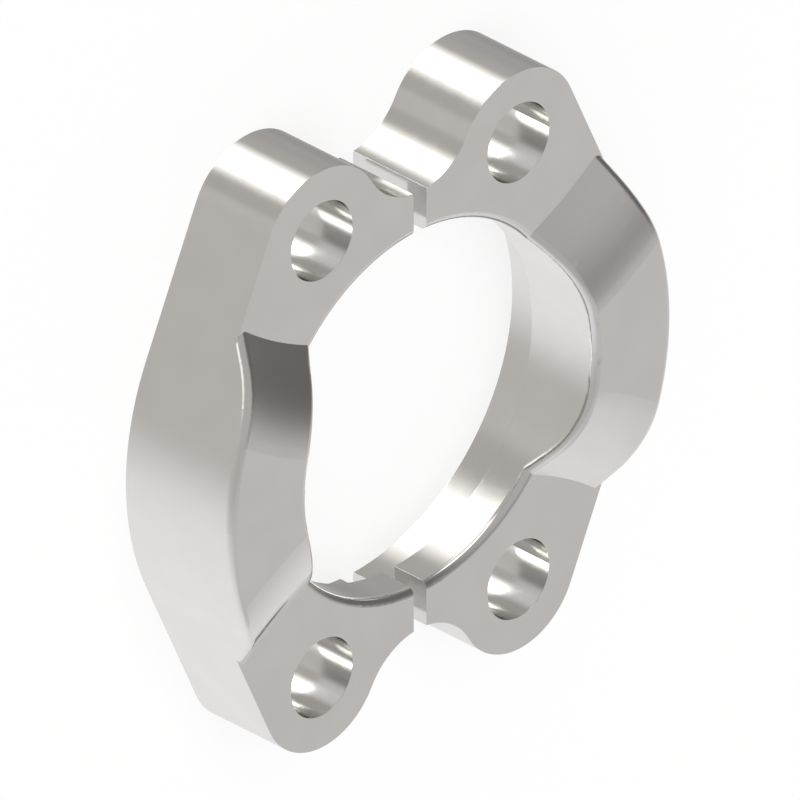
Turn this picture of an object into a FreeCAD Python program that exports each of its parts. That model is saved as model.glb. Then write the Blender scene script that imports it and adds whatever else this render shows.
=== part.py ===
"""Split flange clamp: two equal C-shaped halves that bolt over the flanged head of a 2 inch port."""
import FreeCAD, Part

import math
import os

import Sketcher

# Driving dimensions in millimetres and degrees. Each is a cell of the sheet, with its name as the alias.
# The clamp lies with its port face on the XY plane, and Z is the axis of the neck that it holds.
SIZES = (
    # The bolt pattern of the port: its long side runs along Y and its short side along X.
    ("bolt_pitch_long", 77.8),
    ("bolt_pitch_short", 42.9),
    ("bolt_hole_diameter", 13.5),
    # Outline of a half: round lugs at the bolts, a round back wall and a hollow between the lugs.
    ("lug_radius", 12.5),
    ("wall_radius", 48.2),
    ("hollow_radius", 12.15),
    ("split_gap", 2.8),
    # Thickness at the bolt pads, and how far the crown of the back wall stands above them.
    ("pad_thickness", 16.0),
    ("crown_rise", 7.0),
    # The bore round the neck, and the recess at the port face that holds the head.
    ("neck_bore_diameter", 62.7),
    ("head_recess_diameter", 72.2),
    ("head_recess_depth", 9.0),
    # The bolt pads are sunk round an axis on the split plane, which leaves the crown a ramp at each end. The
    # width is the one between the feet of the two ramps, where they come out at the neck bore.
    ("crown_foot_width", 42.0),
    ("relief_radius", 62.5),
    ("ramp_angle", 37.0),
    ("ramp_blend_radius", 21.0),
    # Rounded edges of the crown and of the bore.
    ("crown_edge_radius", 1.3),
    ("bore_edge_radius", 1.3),
)

# Cells that follow from the sizes. The relief circle goes through the two feet of the ramps at the bore.
FOLLOWING = (
    ("half_foot", "=crown_foot_width / 2"),
    ("relief_axis_distance", "=half_foot + sqrt(half_foot^2 + relief_radius^2 - neck_bore_diameter^2 / 4)"),
)

# Sketcher's numbers: the origin is the start of its own edge, and an edge has a start, an end and a centre.
ORIGIN = -1
START, END, CENTRE = range(1, 4)

UP = FreeCAD.Vector(0, 0, 1)

# Two places nearer to each other than this are the same place.
TOUCH = 0.001

doc = FreeCAD.newDocument("split_flange_clamp")
sheet = doc.addObject("Spreadsheet::Sheet", "Sizes")
for row, (alias, content) in enumerate(SIZES + FOLLOWING, start=1):
    sheet.set("A%d" % row, alias)
    sheet.set("B%d" % row, str(content))
    sheet.setAlias("B%d" % row, alias)
doc.recompute()


def size(alias):
    """The value of one cell of the sheet."""
    return float(sheet.get(alias))


def point(x, y):
    """A point of a sketch."""
    return FreeCAD.Vector(x, y, 0)


def arc(centre, radius, start, end):
    """An arc that runs anticlockwise between two angles in radians."""
    return Part.ArcOfCircle(Part.Circle(centre, UP, radius), start, end)


def origin_plane(body, role):
    """One of the body's own origin planes, found by its role."""
    return next(feature for feature in body.Origin.OriginFeatures if feature.Role == role)


def sketch_on(body, role, name):
    """An empty sketch on one of the body's origin planes."""
    sketch = body.newObject("Sketcher::SketchObject", name)
    sketch.AttachmentSupport = [(origin_plane(body, role), "")]
    sketch.MapMode = "FlatFace"
    return sketch


def constrain(sketch, kind, *places):
    """Add a constraint that needs no dimension."""
    sketch.addConstraint(Sketcher.Constraint(kind, *places))


def dimension(sketch, name, expression, kind, *places):
    """Add a named dimension to a sketch and bind it to the sheet."""
    index = sketch.addConstraint(Sketcher.Constraint(kind, *places))
    sketch.renameConstraint(index, name)
    sketch.setExpression("Constraints." + name, expression)


def draw_outline(sketch):
    """A quarter of the clamp's outline: hollow, lug, straight flank, back wall, bore and split face."""
    gap = size("split_gap") / 2
    lug = point(size("bolt_pitch_short") / 2, size("bolt_pitch_long") / 2)
    lug_radius, wall = size("lug_radius"), size("wall_radius")
    hollow, bore = size("hollow_radius"), size("neck_bore_diameter") / 2

    # Where the round stretches meet, so that the sketch starts out in its solved form.
    hollow_height = lug.y + math.sqrt((hollow + lug_radius) ** 2 - lug.x ** 2)
    lug_end = math.atan2(hollow_height - lug.y, -lug.x)
    lug_start = math.atan2(lug.y, lug.x) - math.acos((wall - lug_radius) / lug.Length)
    outwards = point(math.cos(lug_start), math.sin(lug_start))
    hollow_start = -math.acos(gap / hollow)
    bore_end = math.acos(gap / bore)
    split_low = point(gap, bore * math.sin(bore_end))
    split_high = point(gap, hollow_height + hollow * math.sin(hollow_start))

    hollow_arc = sketch.addGeometry(arc(point(0, hollow_height), hollow, hollow_start, lug_end - math.pi))
    lug_arc = sketch.addGeometry(arc(lug, lug_radius, lug_start, lug_end))
    flank = sketch.addGeometry(Part.LineSegment(outwards * wall, lug + outwards * lug_radius))
    wall_arc = sketch.addGeometry(arc(point(0, 0), wall, 0, lug_start))
    middle = sketch.addGeometry(Part.LineSegment(point(bore, 0), point(wall, 0)))
    bore_arc = sketch.addGeometry(arc(point(0, 0), bore, 0, bore_end))
    split = sketch.addGeometry(Part.LineSegment(split_low, split_high))

    constrain(sketch, "Tangent", hollow_arc, END, lug_arc, END)
    constrain(sketch, "Tangent", lug_arc, START, flank, END)
    constrain(sketch, "Tangent", flank, START, wall_arc, END)
    constrain(sketch, "Coincident", wall_arc, START, middle, END)
    constrain(sketch, "Coincident", middle, START, bore_arc, START)
    constrain(sketch, "Coincident", bore_arc, END, split, START)
    constrain(sketch, "Coincident", split, END, hollow_arc, START)
    constrain(sketch, "Coincident", wall_arc, CENTRE, ORIGIN, START)
    constrain(sketch, "Coincident", bore_arc, CENTRE, ORIGIN, START)
    constrain(sketch, "Vertical", ORIGIN, START, hollow_arc, CENTRE)
    constrain(sketch, "Horizontal", ORIGIN, START, middle, START)
    constrain(sketch, "Horizontal", middle)
    constrain(sketch, "Vertical", split)

    at_lug = (ORIGIN, START, lug_arc, CENTRE)
    dimension(sketch, "lug_x", "Sizes.bolt_pitch_short / 2", "DistanceX", *at_lug, lug.x)
    dimension(sketch, "lug_y", "Sizes.bolt_pitch_long / 2", "DistanceY", *at_lug, lug.y)
    dimension(sketch, "gap", "Sizes.split_gap / 2", "DistanceX", ORIGIN, START, split, START, gap)
    dimension(sketch, "lug_round", "Sizes.lug_radius", "Radius", lug_arc, lug_radius)
    dimension(sketch, "wall_round", "Sizes.wall_radius", "Radius", wall_arc, wall)
    dimension(sketch, "hollow_round", "Sizes.hollow_radius", "Radius", hollow_arc, hollow)
    dimension(sketch, "bore_round", "Sizes.neck_bore_diameter / 2", "Radius", bore_arc, bore)


def draw_relief(sketch):
    """Half section of what is sunk round the relief axis: pad, ramp, blend and flat top of the crown.

    The sketch lies on the YZ plane, so its first coordinate is Y and its second is Z. The name of the edge
    on the relief axis is returned.
    """
    axis, reach = size("relief_axis_distance"), size("relief_radius")
    pad, rise = size("pad_thickness"), size("crown_rise")
    angle, blend = math.radians(size("ramp_angle")), size("ramp_blend_radius")

    # The blend leaves the ramp its length. The section reaches as far beyond the neck's axis as before it,
    # and one rise above the crown, clear of the stock.
    ramp_rise = rise - blend * (1 - math.cos(angle))
    ramp_foot = point(axis - reach, pad)
    ramp_top = ramp_foot + point(-ramp_rise / math.tan(angle), ramp_rise)
    brow = ramp_top + point(-blend * math.sin(angle), rise - ramp_rise)
    far_low, far_high = point(-axis, pad + rise), point(-axis, pad + 2 * rise)
    axis_low, axis_high = point(axis, pad), point(axis, pad + 2 * rise)

    pad_line = sketch.addGeometry(Part.LineSegment(axis_low, ramp_foot))
    ramp_line = sketch.addGeometry(Part.LineSegment(ramp_foot, ramp_top))
    upright = math.pi / 2
    blend_arc = sketch.addGeometry(arc(brow - point(0, blend), blend, upright - angle, upright))
    crown_line = sketch.addGeometry(Part.LineSegment(brow, far_low))
    far_line = sketch.addGeometry(Part.LineSegment(far_low, far_high))
    stock_line = sketch.addGeometry(Part.LineSegment(far_high, axis_high))
    axis_line = sketch.addGeometry(Part.LineSegment(axis_high, axis_low))

    constrain(sketch, "Coincident", pad_line, END, ramp_line, START)
    constrain(sketch, "Tangent", ramp_line, END, blend_arc, START)
    constrain(sketch, "Tangent", blend_arc, END, crown_line, START)
    constrain(sketch, "Coincident", crown_line, END, far_line, START)
    constrain(sketch, "Coincident", far_line, END, stock_line, START)
    constrain(sketch, "Coincident", stock_line, END, axis_line, START)
    constrain(sketch, "Coincident", axis_line, END, pad_line, START)
    for level_line in (pad_line, crown_line, stock_line):
        constrain(sketch, "Horizontal", level_line)
    for upright_line in (far_line, axis_line):
        constrain(sketch, "Vertical", upright_line)

    near, far = (ORIGIN, START, axis_line, END), (far_line, START, ORIGIN, START)
    dimension(sketch, "axis_y", "Sizes.relief_axis_distance", "DistanceX", *near, axis)
    dimension(sketch, "far_y", "Sizes.relief_axis_distance", "DistanceX", *far, axis)
    dimension(sketch, "reach", "Sizes.relief_radius", "DistanceX", pad_line, END, pad_line, START, reach)
    dimension(sketch, "pad_z", "Sizes.pad_thickness", "DistanceY", ORIGIN, START, pad_line, START, pad)
    dimension(sketch, "rise", "Sizes.crown_rise", "DistanceY", pad_line, END, crown_line, START, rise)
    dimension(sketch, "stock", "Sizes.crown_rise", "DistanceY", crown_line, END, stock_line, START, rise)
    dimension(sketch, "blend", "Sizes.ramp_blend_radius", "Radius", blend_arc, blend)
    dimension(sketch, "slope", "180 - Sizes.ramp_angle", "Angle", ramp_line, math.pi - angle)
    return "Edge%d" % (axis_line + 1)


def draw_recess(sketch):
    """The circle of the head recess, round the neck's axis."""
    diameter = size("head_recess_diameter")
    circle = sketch.addGeometry(Part.Circle(point(0, 0), UP, diameter / 2))
    constrain(sketch, "Coincident", circle, CENTRE, ORIGIN, START)
    dimension(sketch, "across", "Sizes.head_recess_diameter", "Diameter", circle, diameter)


def draw_bolt_hole(sketch):
    """The circle of a bolt hole, concentric with its lug."""
    x, y = size("bolt_pitch_short") / 2, size("bolt_pitch_long") / 2
    diameter = size("bolt_hole_diameter")
    circle = sketch.addGeometry(Part.Circle(point(x, y), UP, diameter / 2))
    dimension(sketch, "x", "Sizes.bolt_pitch_short / 2", "DistanceX", ORIGIN, START, circle, CENTRE, x)
    dimension(sketch, "y", "Sizes.bolt_pitch_long / 2", "DistanceY", ORIGIN, START, circle, CENTRE, y)
    dimension(sketch, "across", "Sizes.bolt_hole_diameter", "Diameter", circle, diameter)


def cut(body, kind, sketch, **settings):
    """A pocket or groove in a body, which has to take material away."""
    before = body.Tip.Shape.Volume
    feature = body.newObject("PartDesign::" + kind, sketch.Label + "_cut")
    feature.Profile = sketch
    for name, value in settings.items():
        setattr(feature, name, value)
    doc.recompute()
    if feature.Shape.isNull() or feature.Shape.Volume > before - TOUCH:
        raise RuntimeError(feature.Label + " takes nothing away")
    return feature


def is_upright(face):
    """Whether a face stands parallel to Z, as the walls and the bore do."""
    low_u, high_u, low_v, high_v = face.ParameterRange
    return abs(face.normalAt((low_u + high_u) / 2, (low_v + high_v) / 2).z) < TOUCH


def round_rim(body, name, alias, belongs):
    """Round those edges at the rim of the body's upright faces whose middle point passes the test."""
    base = body.Tip
    upright = [face for face in base.Shape.Faces if is_upright(face)]
    rim = []
    for number, edge in enumerate(base.Shape.Edges, start=1):
        across = math.hypot(edge.BoundBox.XLength, edge.BoundBox.YLength)
        middle = edge.valueAt((edge.FirstParameter + edge.LastParameter) / 2)
        on_upright = any(edge.isSame(other) for face in upright for other in face.Edges)
        if on_upright and across > TOUCH and belongs(middle):
            rim.append("Edge%d" % number)
    fillet = body.newObject("PartDesign::Fillet", name)
    fillet.Base = (base, rim)
    fillet.Radius = size(alias)
    fillet.setExpression("Radius", "Sizes." + alias)
    doc.recompute()


def make_half(label, turn):
    """One forged half as a body: a quarter block, sunk, recessed and drilled, then mirrored and rounded.

    The block stands half a rise above the crown, and the relief takes that stock off again.
    """
    body = doc.addObject("PartDesign::Body", label)
    body.Label = label

    outline = sketch_on(body, "XY_Plane", label + "_outline")
    draw_outline(outline)
    block = body.newObject("PartDesign::Pad", label + "_block")
    block.Profile = outline
    block.setExpression("Length", "Sizes.pad_thickness + 1.5 * Sizes.crown_rise")
    doc.recompute()

    section = sketch_on(body, "YZ_Plane", label + "_relief")
    relief_axis = draw_relief(section)
    relief = cut(body, "Groove", section, Angle=360, ReferenceAxis=(section, [relief_axis]))

    recess_circle = sketch_on(body, "XY_Plane", label + "_head_recess")
    draw_recess(recess_circle)
    recess = cut(body, "Pocket", recess_circle, Reversed=True, Length=size("head_recess_depth"))
    recess.setExpression("Length", "Sizes.head_recess_depth")

    hole_circle = sketch_on(body, "XY_Plane", label + "_bolt_hole")
    draw_bolt_hole(hole_circle)
    hole = cut(body, "Pocket", hole_circle, Reversed=True, Type="ThroughAll")

    mirrored = body.newObject("PartDesign::Mirrored", label + "_mirrored")
    mirrored.MirrorPlane = (origin_plane(body, "XZ_Plane"), [""])
    mirrored.Originals = [block, relief, recess, hole]
    body.Tip = mirrored
    doc.recompute()

    bore, pad = size("neck_bore_diameter") / 2, size("pad_thickness")

    def at_bore(middle):
        return abs(math.hypot(middle.x, middle.y) - bore) < TOUCH

    round_rim(
        body, label + "_crown_edges", "crown_edge_radius",
        lambda middle: middle.z > pad + TOUCH and not at_bore(middle),
    )
    round_rim(
        body, label + "_bore_edges", "bore_edge_radius",
        lambda middle: middle.z > pad - TOUCH and at_bore(middle),
    )
    body.Placement = FreeCAD.Placement(FreeCAD.Vector(0, 0, 0), FreeCAD.Rotation(UP, turn))
    doc.recompute()
    return body


# Both halves are the same forging: the left one is the right one turned half way round the neck.
halves = [make_half("flange_half_right", 0), make_half("flange_half_left", 180)]

for item in doc.Objects:
    if "Invalid" in item.State or "Error" in item.State:
        raise RuntimeError("%s is %s" % (item.Label, item.State))
for half in halves:
    if half.Shape.isNull() or not half.Shape.isValid() or len(half.Shape.Solids) != 1:
        raise RuntimeError(half.Label + " is not one sound solid")

os.makedirs("parts", exist_ok=True)
for half in halves:
    half.Shape.exportStep("parts/%s.step" % half.Label)
    print(half.Label, "%.1f mm3" % half.Shape.Volume)
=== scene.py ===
import math

import bpy
from mathutils import Matrix, Vector

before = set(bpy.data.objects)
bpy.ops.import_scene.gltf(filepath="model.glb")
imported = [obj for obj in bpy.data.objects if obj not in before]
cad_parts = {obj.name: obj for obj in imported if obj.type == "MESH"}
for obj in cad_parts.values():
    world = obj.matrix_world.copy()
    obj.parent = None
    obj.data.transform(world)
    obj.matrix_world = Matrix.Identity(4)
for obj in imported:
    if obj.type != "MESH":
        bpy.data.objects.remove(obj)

scene = bpy.context.scene
scene.view_settings.view_transform = "Standard"
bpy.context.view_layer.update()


# The photograph's view: parallel, turned 45 degrees and tilted 30 degrees against the standing clamp. Here
# the clamp lies on its port face, so the same view looks down from the rear left and is rolled to match.
turn, tilt = math.radians(45), math.radians(30)
to_camera = Vector((-math.cos(tilt) * math.sin(turn), math.sin(tilt), math.cos(tilt) * math.cos(turn)))
view_right = Vector((math.cos(turn), 0, math.sin(turn)))
view_up = to_camera.cross(view_right)

# The picture's middle lies 3.1 mm to the left of the point where the bore's axis meets the plane of the bolt
# pads, and 1.5 mm above it.
pad_height = 0.016
aim_right, aim_up = -0.003105, 0.00152
looks_at = Vector((0, 0, pad_height)) + view_right * aim_right + view_up * aim_up
camera_distance = 0.6
picture_width, pixels_per_metre = 800, 6481

camera = bpy.data.objects.new("camera", bpy.data.cameras.new("camera"))
scene.collection.objects.link(camera)
camera.data.type = "ORTHO"
camera.data.ortho_scale = picture_width / pixels_per_metre
axes = Matrix((view_right, view_up, to_camera)).transposed()
camera.matrix_world = Matrix.Translation(looks_at + to_camera * camera_distance) @ axes.to_4x4()
scene.camera = camera


# The two halves of the clamp: medium carbon steel, forged, shot-blasted, and machined where they meet the
# port, the head and the screws. Both are one forging, used twice. The CAD solids have its shape and stay.
def linear(colour):
    """Linear colour of an sRGB hex value."""
    shares = [int(colour[i:i + 2], 16) / 255 for i in (1, 3, 5)]
    return [s / 12.92 if s <= 0.04045 else ((s + 0.055) / 1.055) ** 2.4 for s in shares] + [1]


def add(tree, kind, links=(), inputs=(), **settings):
    """Add a node with its settings, its fixed inputs and the outputs that feed its other inputs."""
    node = tree.nodes.new(kind)
    for name, value in settings.items():
        setattr(node, name, value)
    for socket, value in dict(inputs).items():
        node.inputs[socket].default_value = value
    for socket, source in dict(links).items():
        tree.links.new(source, node.inputs[socket])
    return node


# Satin steel, blasted with fine shot, clean and bare. The eye sees an even, light, slightly warm grey with
# soft, long reflections, a faint cloudiness in it, and thin bright lines where the sharp edges are rubbed.
steel = bpy.data.materials.new("satin_blasted_steel")
steel.use_nodes = True
tree = steel.node_tree
tree.nodes.clear()
place = add(tree, "ShaderNodeTexCoord").outputs["Object"]
smooth = add(tree, "ShaderNodeNewGeometry").outputs["Normal"]

# Fine shot leaves dimples of about 0.3 mm, two pixels in the photograph's frame. Clouds of 7 mm and smears
# of 2 mm come from the scale that the blasting took off unevenly.
grain_size, smear_size, cloud_size = 0.0003, 0.002, 0.007
grain = add(
    tree, "ShaderNodeTexNoise", links={"Vector": place},
    inputs={"Scale": 1 / grain_size, "Detail": 2.0, "Roughness": 0.6},
).outputs["Fac"]
smears = add(
    tree, "ShaderNodeTexNoise", links={"Vector": place},
    inputs={"Scale": 1 / smear_size, "Detail": 3.0, "Roughness": 0.55},
).outputs["Fac"]
clouds = add(
    tree, "ShaderNodeTexNoise", links={"Vector": place},
    inputs={"Scale": 1 / cloud_size, "Detail": 3.0, "Roughness": 0.5},
).outputs["Fac"]

# The edges are only just broken, to about 0.1 mm. They are rubbed where that rounding has turned the surface
# by more than about 6 degrees, and most from 32 degrees on. The two numbers are the cosines of these angles.
edge_radius = 0.0001
first_rubbed, most_rubbed = 0.995, 0.85
rounded = add(tree, "ShaderNodeBevel", inputs={"Radius": edge_radius}, samples=6).outputs["Normal"]
agreement = add(
    tree, "ShaderNodeVectorMath", links={0: rounded, 1: smooth}, operation="DOT_PRODUCT",
).outputs["Value"]
turned = add(
    tree, "ShaderNodeMapRange", links={"Value": agreement},
    inputs={"From Min": first_rubbed, "From Max": most_rubbed},
).outputs["Result"]
rubbed = add(
    tree, "ShaderNodeMath", links={0: turned, 1: smears}, operation="MULTIPLY",
).outputs[0]

# A colour mix takes its share at input 0 and its colours at 6 and 7, and gives the mixed one at output 2.
dull_grey, light_grey, rubbed_grey = "#D8D8D6", "#E0E0DE", "#F0EFED"
tone = add(
    tree, "ShaderNodeMix", links={0: clouds}, inputs={6: linear(dull_grey), 7: linear(light_grey)},
    data_type="RGBA",
).outputs[2]
worn_tone = add(
    tree, "ShaderNodeMix", links={0: rubbed, 6: tone}, inputs={7: linear(rubbed_grey)}, data_type="RGBA",
).outputs[2]

# The smears change the roughness a little, and an edge that is rubbed has lost up to 0.04 of it.
faintest_smear, strongest_smear = 0.25, 0.75
smoothest, roughest, lost_by_rubbing = 0.12, 0.17, 0.04
even_roughness = add(
    tree, "ShaderNodeMapRange", links={"Value": smears},
    inputs={
        "From Min": faintest_smear, "From Max": strongest_smear,
        "To Min": smoothest, "To Max": roughest,
    },
).outputs["Result"]
roughness = add(
    tree, "ShaderNodeMath", links={0: rubbed, 2: even_roughness}, inputs={1: -lost_by_rubbing},
    operation="MULTIPLY_ADD",
).outputs[0]

# The dimples are three thousandths of a millimetre deep.
dimple_depth = 0.000003
relief = add(
    tree, "ShaderNodeBump", links={"Height": grain, "Normal": rounded},
    inputs={"Strength": 1.0, "Distance": dimple_depth},
).outputs["Normal"]
shader = add(
    tree, "ShaderNodeBsdfPrincipled",
    links={"Base Color": worn_tone, "Roughness": roughness, "Normal": relief},
    inputs={"Metallic": 1.0},
).outputs[0]
add(tree, "ShaderNodeOutputMaterial", links={"Surface": shader})

for half in ("flange_half_right", "flange_half_left"):
    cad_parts[half].material_slots[0].material = steel


# The floor: a matt white board, lit through from below like a light table, so that it stays white with only
# a faint shadow. Reflections pass it, as in the photograph, where the clamp's walls mirror the studio below.
# Its top lies 0.02 mm under the port face, so that the two faces don't share one plane.
board_mesh = bpy.data.meshes.new("floor_board")
reach, top = 1.5, -0.00002
board_mesh.from_pydata(
    [(-reach, -reach, top), (reach, -reach, top), (reach, reach, top), (-reach, reach, top)],
    [], [(0, 1, 2, 3)],
)
board = bpy.data.objects.new("floor_board", board_mesh)
scene.collection.objects.link(board)
board.visible_glossy = False

# To the camera, four fifths of the board's white is the light from below. The rest takes the shadow.
lit_through = 0.8
white = linear("#FFFFFF")
board_white = bpy.data.materials.new("matt_white_board")
board_white.use_nodes = True
board_tree = board_white.node_tree
board_tree.nodes.clear()
matt = add(board_tree, "ShaderNodeBsdfDiffuse", inputs={"Color": white}).outputs[0]
glow = add(board_tree, "ShaderNodeEmission", inputs={"Color": white, "Strength": 1.0}).outputs[0]
seen = add(board_tree, "ShaderNodeLightPath").outputs["Is Camera Ray"]
glow_share = add(
    board_tree, "ShaderNodeMath", links={0: seen}, inputs={1: lit_through}, operation="MULTIPLY",
).outputs[0]
surface = add(board_tree, "ShaderNodeMixShader", links={0: glow_share, 1: matt, 2: glow}).outputs[0]
add(board_tree, "ShaderNodeOutputMaterial", links={"Surface": surface})
board_mesh.materials.append(board_white)


# The lamp: one large soft box over the clamp, towards the camera, which brings the light on a level surface
# up to the plain level. Reflections pass it, because the photograph's steel shows no lamp there.
lamp_strength, lamp_spread = 1.57, math.radians(60)
to_lamp = Vector((-0.35, 0.3, 1))
lamp = bpy.data.objects.new("soft_box", bpy.data.lights.new("soft_box", "SUN"))
scene.collection.objects.link(lamp)
lamp.data.energy = lamp_strength
lamp.data.angle = lamp_spread
lamp.rotation_euler = to_lamp.to_track_quat("Z", "Y").to_euler()
lamp.visible_glossy = False


# The studio: a plain soft dome, as the photograph's steel mirrors it, light grey below and darker above,
# with a white sweep along the front, a dark stand above on the right, and a lamp low at the back.
studio = bpy.data.worlds.new("studio_dome")
scene.world = studio
studio.use_nodes = True
dome = studio.node_tree
dome.nodes.clear()
towards = add(dome, "ShaderNodeTexCoord").outputs["Generated"]

# Each stretch is laid over the wall and the stretches before it. It has its middle, its colour and strength,
# and the angles from its middle up to which it is whole and at which it has faded away.
wall = linear("#E7E2DF")
stretches = (
    ((0.25, 0.65, 0.72), "#BAB7B7", 1.00, 48, 83),     # the darker upper half
    ((-0.52, 0.32, 0.80), "#DDD8D6", 1.00, 25, 66),    # the ceiling over the camera
    ((0.61, -0.27, -0.74), "#C2BFBE", 1.03, 16, 77),   # the right side
    ((0.84, 0.36, 0.42), "#84817F", 1.00, 19, 46),     # the dark stand
    ((-0.08, 0.76, -0.64), "#D7D2CE", 1.00, 34, 41),   # the dimmer wall round the lamp
    ((-0.01, 0.61, -0.79), "#FFFCF7", 2.00, 17, 27),   # the lamp's soft edge
    ((0.05, 1.00, -0.03), "#FFFCF7", 2.80, 20, 27),    # the lamp's upper end
    ((-0.01, 0.61, -0.79), "#FFFDF8", 8.40, 14, 18),   # the lamp
    ((-0.83, 0.42, -0.36), "#FFFDFA", 1.80, 1, 15),    # a small lamp on the left
    ((-0.02, -0.99, -0.16), "#FFFDFE", 1.14, 46, 79),  # the white sweep
    ((-0.24, -0.89, -0.40), "#FFFDFE", 1.33, 0, 55),   # its lower part, lit more
    ((0.07, -0.69, 0.72), "#EDEBEC", 1.00, 0, 32),     # its upper edge, lit less
    ((0.71, -0.39, -0.58), "#FAF8F9", 1.22, 0, 48),    # its right end
    ((0.66, -0.08, -0.74), "#B2B0AF", 1.07, 0, 32),    # the shade beyond that end
)
under = {}
for middle, colour, strength, whole, gone in stretches:
    nearness = add(
        dome, "ShaderNodeVectorMath", links={0: towards}, inputs={1: Vector(middle).normalized()},
        operation="DOT_PRODUCT",
    ).outputs["Value"]
    cover = add(
        dome, "ShaderNodeMapRange", links={"Value": nearness}, interpolation_type="SMOOTHSTEP",
        inputs={"From Min": math.cos(math.radians(gone)), "From Max": math.cos(math.radians(whole))},
    ).outputs["Result"]
    bright = [share * strength for share in linear(colour)[:3]] + [1]
    laid = add(
        dome, "ShaderNodeMix", links={0: cover, **under}, inputs={6: wall, 7: bright}, data_type="RGBA",
    ).outputs[2]
    under = {6: laid}

dome_strength = 0.77
light = add(dome, "ShaderNodeBackground", links={0: laid}, inputs={"Strength": dome_strength}).outputs[0]
add(dome, "ShaderNodeOutputWorld", links={0: light})
